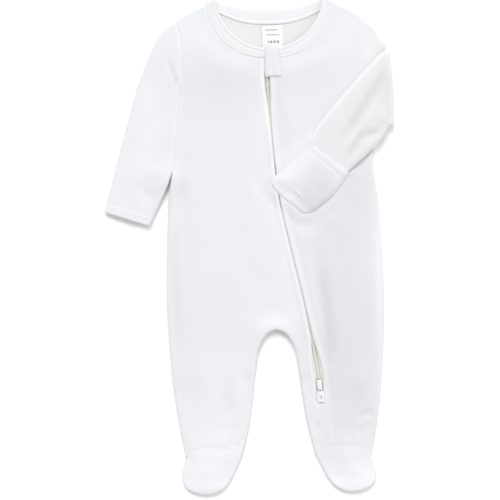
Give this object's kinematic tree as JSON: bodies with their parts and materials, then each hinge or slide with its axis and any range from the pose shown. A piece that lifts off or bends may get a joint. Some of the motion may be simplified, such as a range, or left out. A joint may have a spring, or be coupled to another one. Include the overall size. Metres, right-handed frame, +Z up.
{
  "type": "footed baby sleepsuit",
  "caption": "Plain white knit footed sleepsuit laid flat, with a two-way zip from neck to shin, a chin guard, fold-over mittens and one sleeve folded across the chest.",
  "frame": {"origin": "middle of the suit's bounding box, on the surface that it lies on", "axes": "+X to the wearer's left, +Y towards the neck, +Z up from the surface, out of the front"},
  "size_m": [0.3318, 0.5682, 0.013],
  "materials": {
    "knit": "soft matt cotton interlock knit",
    "label": "smooth satin ribbon",
    "zip_tape": "woven tape",
    "zip_coil": "cream nylon coil",
    "zip_metal": "satin grey die casting",
    "pull_plastic": "satin white moulding"
  },
  "bodies": {
    "suit": {"back_body": "knit", "front_right": "knit", "front_left": "knit", "sleeve_right": "knit", "sleeve_left": "knit", "mitten_left": "knit", "mitten_right": "knit", "foot_top_right": "knit", "foot_top_left": "knit", "sole_right": "knit", "sole_left": "knit", "neckband": "knit", "chin_guard": "knit", "neck_label": "label", "zip_tape_right": "zip_tape", "zip_tape_left": "zip_tape", "zip_chain": "zip_coil", "zip_slider": "zip_metal", "zip_slider_top": "zip_metal"},
    "pull": {"zip_pull": "pull_plastic"}
  },
  "joints": [
    {"name": "pull_hinge", "type": "hinge", "parent": "suit", "child": "pull", "pos_m": [0.07554, -0.16268, 0.0067], "axis": [-0.9969, -0.0786, 0], "range_deg": [0, 165]}
  ]
}
